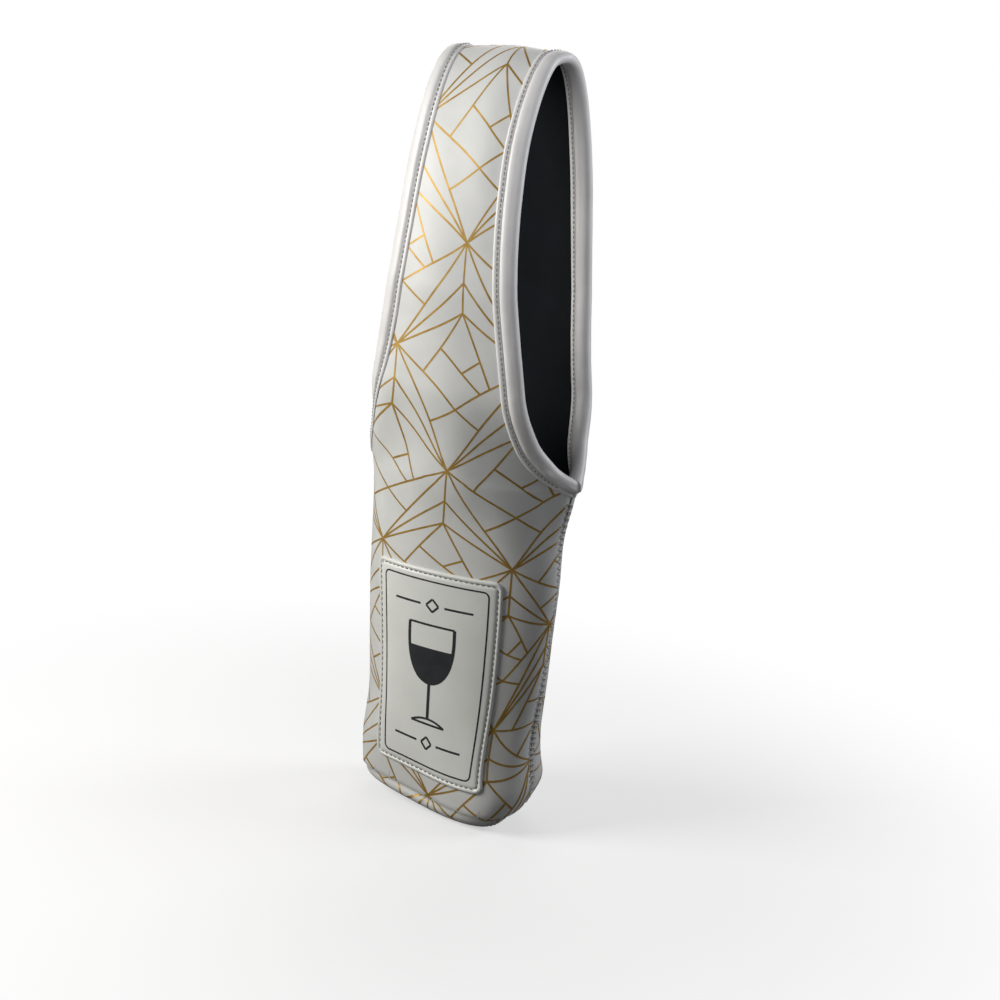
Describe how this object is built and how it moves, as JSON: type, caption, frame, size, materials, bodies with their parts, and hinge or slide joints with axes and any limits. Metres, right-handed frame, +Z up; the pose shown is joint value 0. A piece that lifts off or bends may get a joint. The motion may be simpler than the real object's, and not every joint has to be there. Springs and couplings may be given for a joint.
{
  "type": "bottle cooler sleeve",
  "caption": "Foam-rubber bottle sleeve: a seamed tube with a flat foot whose front runs over the top as a handle to the back, bound side openings, stitched patch on the front.",
  "frame": {"origin": "middle of the base panel's underside, on the surface it stands on", "axes": "+Z up to the handle, -Y is the front with the patch, +X is the right-hand side seam seen from the front"},
  "size_m": [0.125, 0.0916, 0.4132],
  "materials": {
    "printed_jersey": "smooth knitted face, satin, off-white with fine gold lines",
    "foam_rubber": "matte closed-cell foam",
    "lining_jersey": "matte near-black knit",
    "binding_tape": "smooth white knit tape, satin",
    "patch_leather": "smooth off-white imitation leather, satin",
    "thread": "off-white sewing thread"
  },
  "bodies": {
    "root": {"sleeve_face": "printed_jersey", "sleeve_core": "foam_rubber", "sleeve_lining": "lining_jersey", "base_face": "printed_jersey", "base_core": "foam_rubber", "base_lining": "lining_jersey", "patch": "patch_leather", "patch_thread": "thread", "right_binding": "binding_tape", "left_binding": "binding_tape", "right_binding_thread": "thread", "left_binding_thread": "thread", "right_seam_thread": "thread", "left_seam_thread": "thread", "right_corner_thread": "thread", "left_corner_thread": "thread"}
  },
  "joints": []
}
